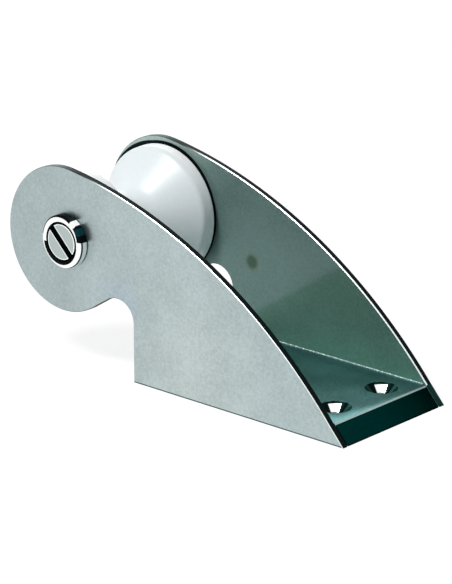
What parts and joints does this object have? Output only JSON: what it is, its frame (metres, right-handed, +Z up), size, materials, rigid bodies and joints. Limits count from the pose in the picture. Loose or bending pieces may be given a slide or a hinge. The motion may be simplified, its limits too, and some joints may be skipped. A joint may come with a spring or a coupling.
{
  "type": "bow roller",
  "caption": "Small bow roller for an anchor chain: an open stainless channel that screws to a deck, with a nylon roller turning on a bolt in its nose.",
  "frame": {"origin": "centre of the base plate's underside, on the deck", "axes": "+X points aft, away from the nose; +Y to the far cheek, which carries the nut; +Z up from the deck"},
  "size_m": [0.1477, 0.0704, 0.0685],
  "materials": {
    "brushed_stainless": "satin with a fine even grain",
    "weld_metal": "bright, slightly uneven weld",
    "bright_stainless": "polished",
    "white_nylon": "smooth turned nylon with a soft gloss",
    "washer_acetal": "matte",
    "insert_nylon": "matte"
  },
  "bodies": {
    "channel": {"near_cheek": "brushed_stainless", "far_cheek": "brushed_stainless", "base_plate": "brushed_stainless", "near_weld_bead": "weld_metal", "far_weld_bead": "weld_metal", "axle_bolt": "bright_stainless", "spacer_tube": "bright_stainless", "near_thrust_washer": "washer_acetal", "far_thrust_washer": "washer_acetal", "nut_washer": "bright_stainless", "lock_nut": "bright_stainless", "nut_insert": "insert_nylon"},
    "roller": {"roller": "white_nylon"}
  },
  "joints": [
    {"name": "roller_spin", "type": "hinge", "parent": "channel", "child": "roller", "pos_m": [-0.0749, 0, 0.0436], "axis": [0, 1, 0], "continuous": true}
  ]
}
